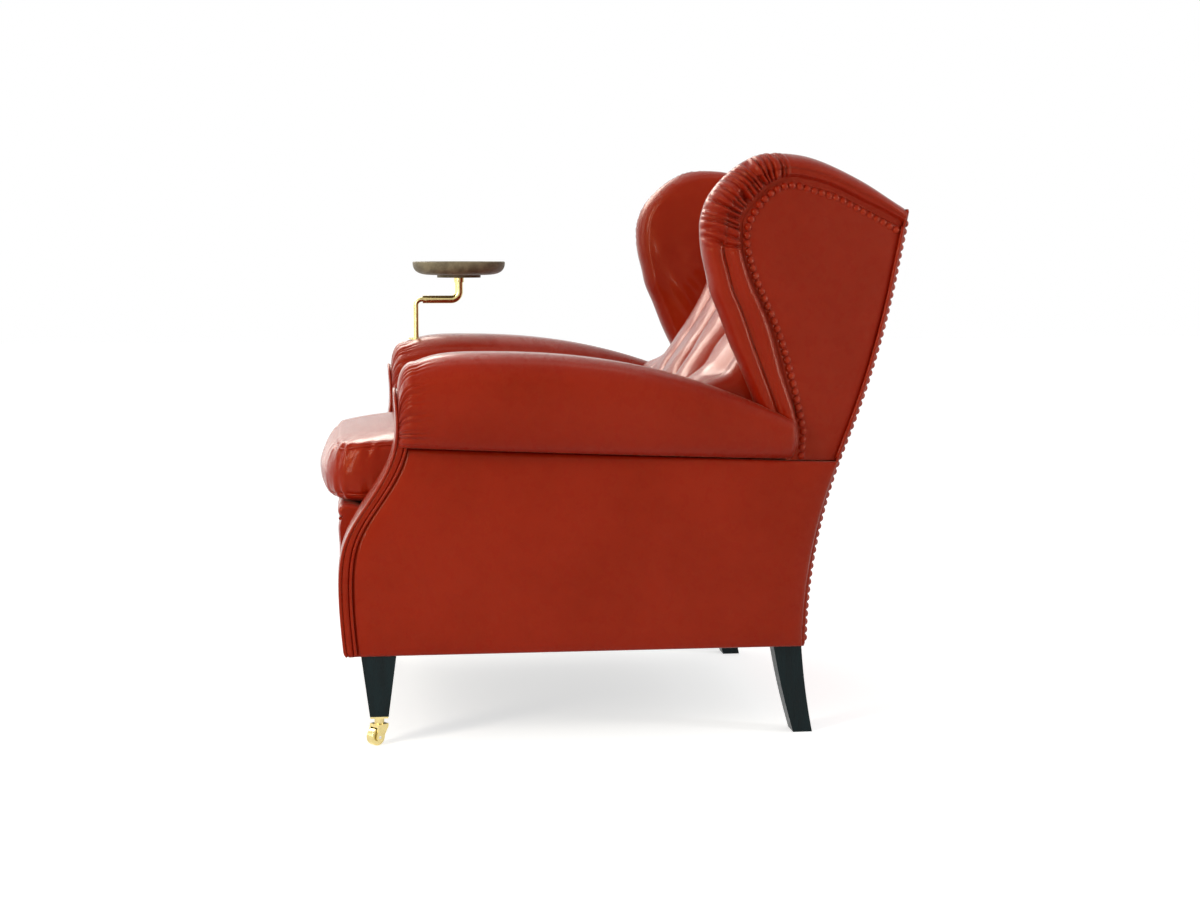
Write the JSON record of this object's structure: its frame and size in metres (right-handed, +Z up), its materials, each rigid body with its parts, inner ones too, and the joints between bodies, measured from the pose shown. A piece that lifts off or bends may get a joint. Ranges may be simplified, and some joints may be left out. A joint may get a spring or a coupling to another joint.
{
  "type": "club armchair",
  "caption": "Wing-backed club armchair in hide, with rolled arms, a loose seat cushion, a tufted back, front casters and a swivelling dish on the right arm.",
  "frame": {"origin": "on the floor, at the centre of the chair's outline seen from above", "axes": "+Z up, +Y towards the back, +X towards the sitter's left; the sitter faces -Y"},
  "size_m": [0.8461, 0.97, 0.95],
  "materials": {
    "hide": "semi-gloss, waxed",
    "frame_timber": "sawn, unfinished",
    "black_timber": "black stain, satin",
    "turned_timber": "dark, oiled",
    "cloth": "plain weave",
    "steel": "drawn wire and plain bar",
    "brass": "polished"
  },
  "bodies": {
    "chair": {"back_buttons": "hide", "back_lower_rail": "frame_timber", "back_outside_panel": "hide", "back_top_rail": "frame_timber", "back_webbing": "cloth", "bottom_cloth": "cloth", "corner_blocks": "frame_timber", "frame_dowels": "frame_timber", "front_apron": "hide", "front_lip": "hide", "front_seat_rail": "frame_timber", "inner_back": "hide", "left_arm_facing": "hide", "left_arm_pad": "hide", "left_arm_rail": "frame_timber", "left_back_nails": "hide", "left_back_post": "frame_timber", "left_caster_plate": "brass", "left_front_leg": "black_timber", "left_front_post": "frame_timber", "left_rear_leg": "black_timber", "left_seat_rail": "frame_timber", "left_side_panel": "hide", "left_wing_frame": "frame_timber", "left_wing_nails": "hide", "left_wing_pad": "hide", "left_wing_panel": "hide", "leg_bolts": "steel", "rear_seat_rail": "frame_timber", "right_arm_facing": "hide", "right_arm_pad": "hide", "right_arm_rail": "frame_timber", "right_back_nails": "hide", "right_back_post": "frame_timber", "right_caster_plate": "brass", "right_front_leg": "black_timber", "right_front_post": "frame_timber", "right_rear_leg": "black_timber", "right_seat_rail": "frame_timber", "right_side_panel": "hide", "right_wing_frame": "frame_timber", "right_wing_nails": "hide", "right_wing_pad": "hide", "right_wing_panel": "hide", "seat_deck": "cloth", "seat_springs": "steel", "seat_webbing": "cloth", "top_back_nails": "hide", "tray_socket": "brass"},
    "left_caster": {"left_caster_fork": "brass", "left_caster_axle": "steel"},
    "left_caster_wheel": {"left_caster_wheel": "brass"},
    "right_caster": {"right_caster_fork": "brass", "right_caster_axle": "steel"},
    "right_caster_wheel": {"right_caster_wheel": "brass"},
    "cushion": {"seat_cushion": "hide"},
    "tray_swing": {"tray_post": "brass", "tray_arm": "brass", "tray_set_screw": "brass"},
    "dish": {"tray_dish": "turned_timber"}
  },
  "joints": [
    {"name": "left_caster_swivel", "type": "hinge", "parent": "chair", "child": "left_caster", "pos_m": [0.335, -0.385, 0.04], "axis": [0, 0, 1], "continuous": true},
    {"name": "left_caster_roll", "type": "hinge", "parent": "left_caster", "child": "left_caster_wheel", "pos_m": [0.34014, -0.39113, 0.014], "axis": [0.766, 0.6428, 0], "continuous": true},
    {"name": "right_caster_swivel", "type": "hinge", "parent": "chair", "child": "right_caster", "pos_m": [-0.335, -0.385, 0.04], "axis": [0, 0, 1], "continuous": true},
    {"name": "right_caster_roll", "type": "hinge", "parent": "right_caster", "child": "right_caster_wheel", "pos_m": [-0.34014, -0.39113, 0.014], "axis": [0.766, -0.6428, 0], "continuous": true},
    {"name": "cushion_lift", "type": "slide", "parent": "chair", "child": "cushion", "axis": [0, 0, 1], "range_m": [0, 0.22]},
    {"name": "tray_swivel", "type": "hinge", "parent": "chair", "child": "tray_swing", "pos_m": [-0.337, -0.302, 0.6], "axis": [0, 0, 1], "continuous": true},
    {"name": "dish_swivel", "type": "hinge", "parent": "tray_swing", "child": "dish", "pos_m": [-0.337, -0.219, 0.748], "axis": [0, 0, 1], "continuous": true}
  ]
}
